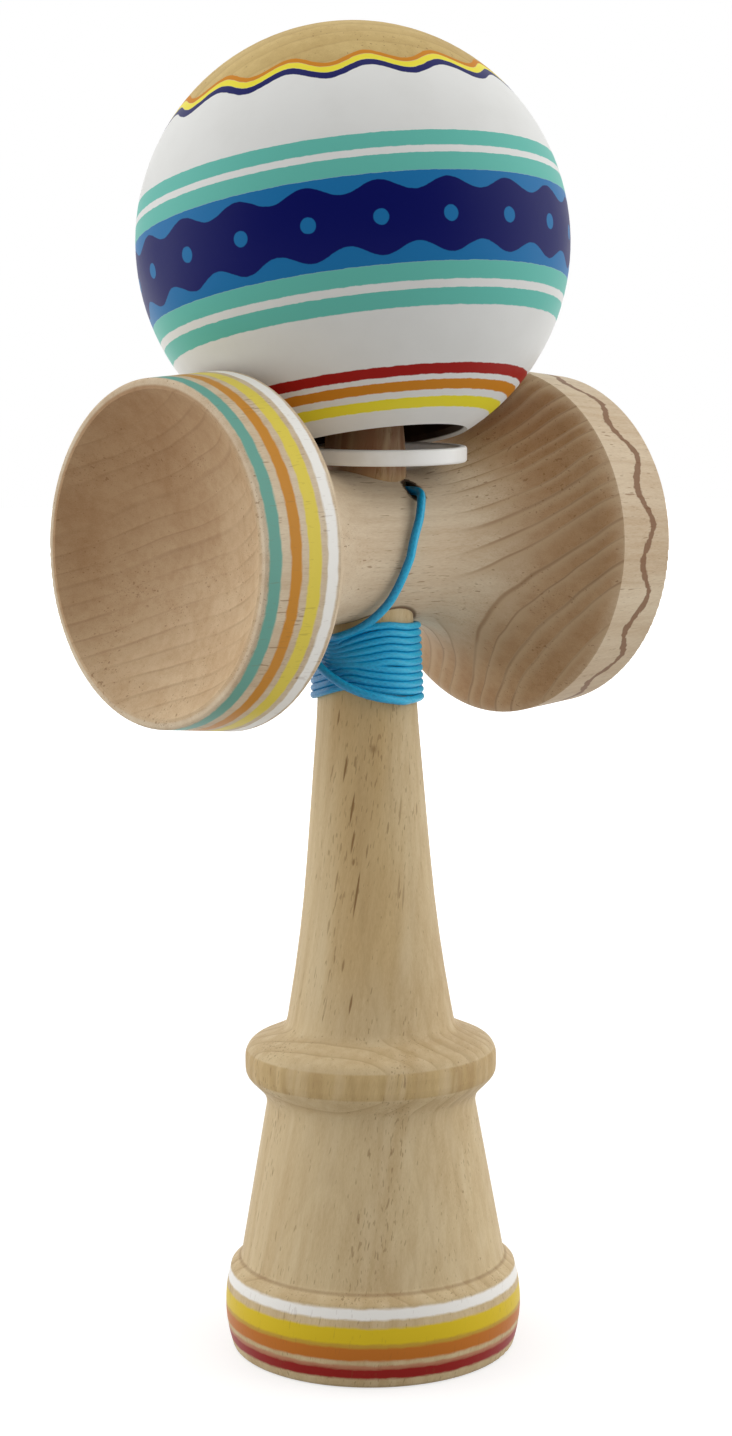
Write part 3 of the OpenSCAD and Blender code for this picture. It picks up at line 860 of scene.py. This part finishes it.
def ball_material():
    t = Tree.of_material("ball_paint")
    p = t.vec("SUBTRACT", t.place(), tuple(BALL_MID))
    x, y0, z0 = t.xyz(p)
    c, s = math.cos(BALL_LEAN), math.sin(BALL_LEAN)
    h = t.add(t.mul(y0, s), t.mul(z0, c))
    y = t.sub(t.mul(y0, c), t.mul(z0, s))
    turn = t.math("ARCTAN2", y, x)
    wood = Wood(t, h, x, y, 23.0, CAP_WOOD, CAP_DARK, FLECK)
    wood.rings(pith_a=30.0, pith_b=40.0, gap=3.0, soft_share=0.35, line_share=0.15)
    wood.flecks(0.5, 2.4, low=0.66, high=0.75, share=0.5)
    hh = t.add(h, brush_edge(t, t.vec("SCALE", p, scale=0.8), 0.24))
    grime = t.noise(t.vec("SCALE", p, scale=0.12), 1.0, 4.0, 0.6)
    colour = t.mix(t.step(grime, 0.35, 0.8, 0.0, 0.25), WHITE, WHITE_GRIMY)
    for low, high, paint in BALL_BANDS:
        colour = t.mix(t.band(hh, low, high), colour, paint)
    # a scalloped navy ribbon with dots along the blue band
    wave = t.math("COSINE", t.mul(turn, RIBBON_WAVES))
    mid = t.add(hh, RIBBON_DROP)
    ribbon = t.sub(t.abs(mid), t.mul_add(wave, RIBBON_SWING, RIBBON_HALF))
    colour = t.mix(t.step(ribbon, -0.07, 0.07, 1, 0), colour, NAVY)
    across = t.math("ARCSINE", t.math("SINE", t.mul(turn, DOT_COUNT)))
    across = t.mul(across, BALL_R / DOT_COUNT)
    colour = t.mix(t.step(t.hypot(across, mid), DOT_R, DOT_EDGE_R, 1, 0), colour, BLUE)
    # the bare cap at the top, with a waved border
    over = t.sub(hh, t.mul_add(t.math("SINE", t.mul(turn, CAP_WAVES)), CAP_SWING, CAP_H))
    colour = t.mix(t.band(over, *CAP_NAVY), colour, NAVY)
    colour = t.mix(t.band(over, *CAP_YELLOW), colour, YELLOW)
    bare = t.step(over, *CAP_EDGE)
    colour = t.mix(bare, colour, t.mix(t.band(over, *CAP_ORANGE), wood.colour, ORANGE))
    # painted shade: the bare bore is coloured dark brown for the shade deep inside it
    inner, outer = (BALL_R - depth for depth in BORE_SHADE_DEPTH)
    bore = t.step(t.vec("LENGTH", p), inner, outer, 1, 0)
    colour = t.mix(bore, colour, t.mix(t.step(grime, 0.3, 0.7), BORE_SHADE_LIGHT, BORE_SHADE_DARK))
    peel = t.noise(t.vec("SCALE", p, scale=1.6), 1.0, 2.0)
    rough = t.mul_add(bare, 0.2, t.mul_add(grime, 0.12, 0.34))
    height = t.add(t.mul(peel, 0.12), t.mul(wood.height, t.mul_add(bare, 0.7, 0.08)))
    t.surface(colour, rough, t.bump(height, 0.00006, 0.5), specular=0.09)
    return t.mat


def ring_material():
    t = Tree.of_material("ring_plastic")
    p = t.place()
    n = t.noise(t.vec("SCALE", p, scale=0.25), 1.0, 3.0)
    colour = t.mix(t.step(n, 0.35, 0.75), RING_WHITE, RING_DULL)
    rough = t.mul_add(n, 0.15, 0.34)
    t.surface(colour, rough, t.bump(t.noise(p, 2.0, 2.0), 0.00004, 0.4), specular=0.35)
    return t.mat


def bead_material():
    t = Tree.of_material("bead_wood")
    x, y, z = t.xyz(t.place())
    wood = Wood(t, z, x, y, 31.0, BEAD_WOOD, BEAD_DARK, FLECK)
    wood.rings(pith_a=20.0, pith_b=12.0, gap=1.6, soft_share=0.5, line_share=0.2)
    wood.flecks(0.6, 3.0, low=0.64, high=0.72, share=0.5)
    t.surface(wood.colour, t.mul_add(wood.fleck, 0.1, 0.5), t.bump(wood.height, 0.00005, 0.5))
    return t.mat


def string_material():
    t = Tree.of_material("string_braid")
    # u goes round the cord from 0 to 1, v along it in mm
    u, v = t.xyz(t.node("ShaderNodeUVMap", uv_map="along").outputs[0])[:2]
    q = t.mul(u, 2 * math.pi * CORD_STRANDS)
    s = t.mul(v, 2 * math.pi / CORD_LAY)
    weave = t.most(t.math("COSINE", t.add(q, s)), t.math("COSINE", t.sub(q, s)))
    yarn = t.noise(t.join(t.mul(u, 40.0), t.mul(v, 3.0), 0.0), 1.0, 2.0, 0.6)
    tone = t.add(t.step(weave, -0.2, 1.0, 0.0, 0.35), t.step(yarn, 0.3, 0.7, 0.0, 0.65))
    slow = t.noise(t.join(0.0, t.mul(v, 0.08), 0.0), 1.0, 2.0)
    colour = t.mix(tone, CORD_DEEP, CORD_BLUE)
    colour = t.mix(t.step(slow, 0.35, 0.7, 0.0, 0.3), colour, CORD_PALE)
    # painted shade and painted highlight: deeper blue on the faces that look to the small cup's side,
    # brighter on the other
    facing = t.vec("DOT_PRODUCT", t.normal(), tuple(SIDE))
    colour = t.mix(t.step(facing, -0.9, 0.2, 1, 0), colour, t.shade(colour, CORD_SHADE))
    colour = t.mix(t.step(facing, 0.1, 0.8, 0, 0.45), colour, CORD_HIGHLIGHT)
    height = t.mul_add(weave, 0.7, t.mul(yarn, 0.3))
    t.surface(colour, t.mul_add(yarn, 0.12, 0.34), t.bump(height, 0.00003, 0.3))
    return t.mat


def dress(obj, mat):
    obj.data.materials.clear()
    obj.data.materials.append(mat)


def dress_node(name, mat):
    for s in NODES[name].material_slots:
        s.material = mat


dress_node("ken", ken_material())
dress_node("sarado", sarado_material())
dress_node("tama", ball_material())
dress_node("spacer_ring", ring_material())
dress_node("bead", bead_material())
cord_mat = string_material()
for obj in CORDS:
    dress(obj, cord_mat)


# What each piece rides on and stands for.

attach(string_wound, "ken")
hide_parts("string_tail", "string_winding")
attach(knot_in_ken, "ken")
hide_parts("ken_knot")
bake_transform(string_up)
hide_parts("string_riser")
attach(string_lead, "string_end")
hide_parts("string_lead")
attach(knot_in_ball, "string_end")
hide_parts("tama_knot")


# Floor, backdrop and light. Lengths here are in metres, but for the floor's FADE_NEAR and FADE_FAR in mm.

MID = Vector((0, 0, 0.1))
FLOOR_HALF = 6.0
FLOOR_DARK = (0.5, 0.5, 0.5, 1)
FLOOR_LIGHT = (0.52, 0.52, 0.515, 1)
FADE_NEAR, FADE_FAR, FADE_FROM = 120.0, 500.0, 0.62
PURE_WHITE = (1, 1, 1, 1)
GLOW_ALL = 0.34
GLOW_TOP = 0.26
GLOW_BACK = 0.34
GLOW_SIDE = 0.46
GLOSS_FRONT = 0.3
SIDE_POWER, SIDE_SIZE, SIDE_OFF, SIDE_UP = 2.3, 0.8, 0.75, 0.15
TOP_POWER, TOP_SIZE, TOP_UP = 1.6, 0.9, 0.9


def seen(t):
    """1 for rays that show the background: straight, mirrored or through glass."""
    lp = t.node("ShaderNodeLightPath")
    bent = t.most(lp.outputs["Is Glossy Ray"], lp.outputs["Is Transmission Ray"])
    return t.most(lp.outputs["Is Camera Ray"], bent)


def floor():
    mesh = bpy.data.meshes.new("floor")
    s = FLOOR_HALF
    mesh.from_pydata([(-s, -s, 0), (s, -s, 0), (s, s, 0), (-s, s, 0)], [], [(0, 1, 2, 3)])
    obj = bpy.data.objects.new("floor", mesh)
    bpy.context.scene.collection.objects.link(obj)
    t = Tree.of_material("floor_pale")
    p = t.place()
    b = t.node("ShaderNodeBsdfDiffuse")
    t.put(b.inputs["Color"], t.mix(t.noise(p, 0.05, 2.0), FLOOR_DARK, FLOOR_LIGHT))
    e = t.node("ShaderNodeEmission")
    t.put(e.inputs["Color"], PURE_WHITE)
    lift = t.step(t.vec("LENGTH", p), FADE_NEAR, FADE_FAR, FADE_FROM, 1.0)
    t.put(e.inputs["Strength"], t.mul(seen(t), lift))
    a = t.node("ShaderNodeAddShader")
    t.nt.links.new(b.outputs[0], a.inputs[0])
    t.nt.links.new(e.outputs[0], a.inputs[1])
    t.nt.links.new(a.outputs[0], t.out.inputs["Surface"])
    dress(obj, t.mat)


def world():
    w = bpy.data.worlds.new("studio")
    bpy.context.scene.world = w
    w.use_nodes = True
    t = Tree(w.node_tree, "ShaderNodeOutputWorld")
    way = t.node("ShaderNodeTexCoord").outputs["Generated"]
    up = t.xyz(way)[2]
    front = t.vec("DOT_PRODUCT", way, tuple(TO_CAM))
    side = t.abs(t.vec("DOT_PRODUCT", way, tuple(SIDE)))
    glow = t.mul_add(t.step(up, 0.1, 0.9), GLOW_TOP, GLOW_ALL)
    glow = t.mul_add(t.step(front, -0.8, 0.1, 1, 0), GLOW_BACK, glow)
    glow = t.mul_add(t.step(side, 0.4, 0.95), GLOW_SIDE, glow)
    lp = t.node("ShaderNodeLightPath")
    mirrored = t.step(front, -0.3, 0.5, 1.0, GLOSS_FRONT)
    strength = t.blend(lp.outputs["Is Glossy Ray"], glow, mirrored)
    straight = t.most(lp.outputs["Is Camera Ray"], lp.outputs["Is Transmission Ray"])
    strength = t.blend(straight, strength, 1.0)
    b = t.node("ShaderNodeBackground")
    t.put(b.inputs["Color"], PURE_WHITE)
    t.put(b.inputs["Strength"], strength)
    t.nt.links.new(b.outputs[0], t.out.inputs["Surface"])


def lamp(name, at, size, power):
    data = bpy.data.lights.new(name, "AREA")
    data.shape = "RECTANGLE"
    data.size = data.size_y = size
    data.energy = power
    obj = bpy.data.objects.new(name, data)
    bpy.context.scene.collection.objects.link(obj)
    aim = (MID - at).to_track_quat("-Z", "Y").to_matrix().to_4x4()
    obj.matrix_world = Matrix.Translation(at) @ aim


floor()
world()
# Two soft boxes, to the left and right of the part as the photograph shows it, and one above it.
for name, off in (("soft_left", -SIDE_OFF), ("soft_right", SIDE_OFF)):
    lamp(name, MID + off * SIDE + Vector((0, 0, SIDE_UP)), SIDE_SIZE, SIDE_POWER)
lamp("soft_top", MID + Vector((0, 0, TOP_UP)), TOP_SIZE, TOP_POWER)

bpy.context.scene.view_settings.view_transform = "Standard"

bpy.context.view_layer.update()
